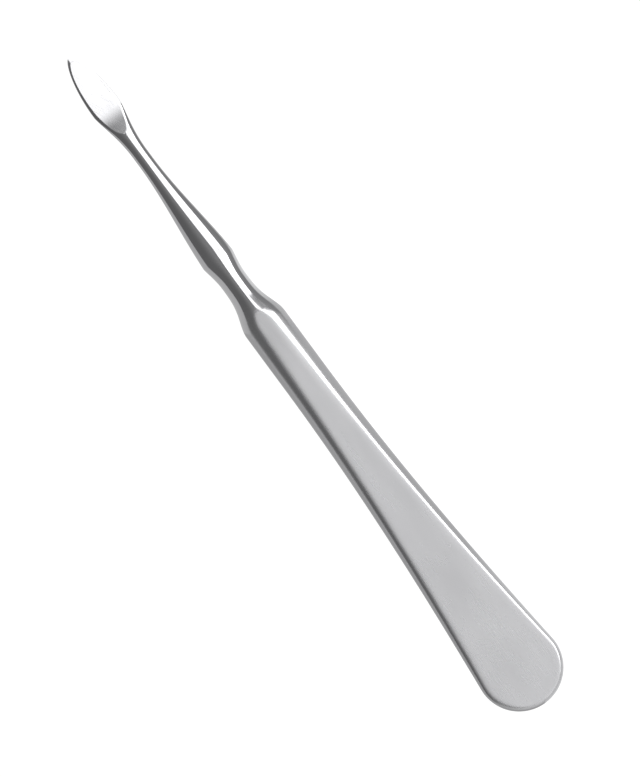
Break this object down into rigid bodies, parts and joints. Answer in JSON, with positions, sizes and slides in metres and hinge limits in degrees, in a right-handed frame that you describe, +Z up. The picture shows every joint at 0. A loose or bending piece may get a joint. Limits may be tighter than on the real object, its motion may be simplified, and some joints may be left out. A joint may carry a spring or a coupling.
{
  "type": "nail cleaner",
  "caption": "Slim one-piece forged steel nail cleaner: pointed leaf blade with a hollow-ground face, slim neck with a collar, and a tapering handle with flat satin faces and a round end.",
  "frame": {"origin": "centre of the bounding box at its base, on the level ground face that the tool lies on", "axes": "+X along the tool towards the point of the blade, +Y across the handle, +Z up, away from the surface the tool lies on"},
  "size_m": [0.12, 0.0132, 0.0068],
  "materials": {
    "stainless_steel": "satin-ground handle faces, polished neck, collar and blade"
  },
  "bodies": {
    "root": {"forged_body": "stainless_steel"}
  },
  "joints": []
}
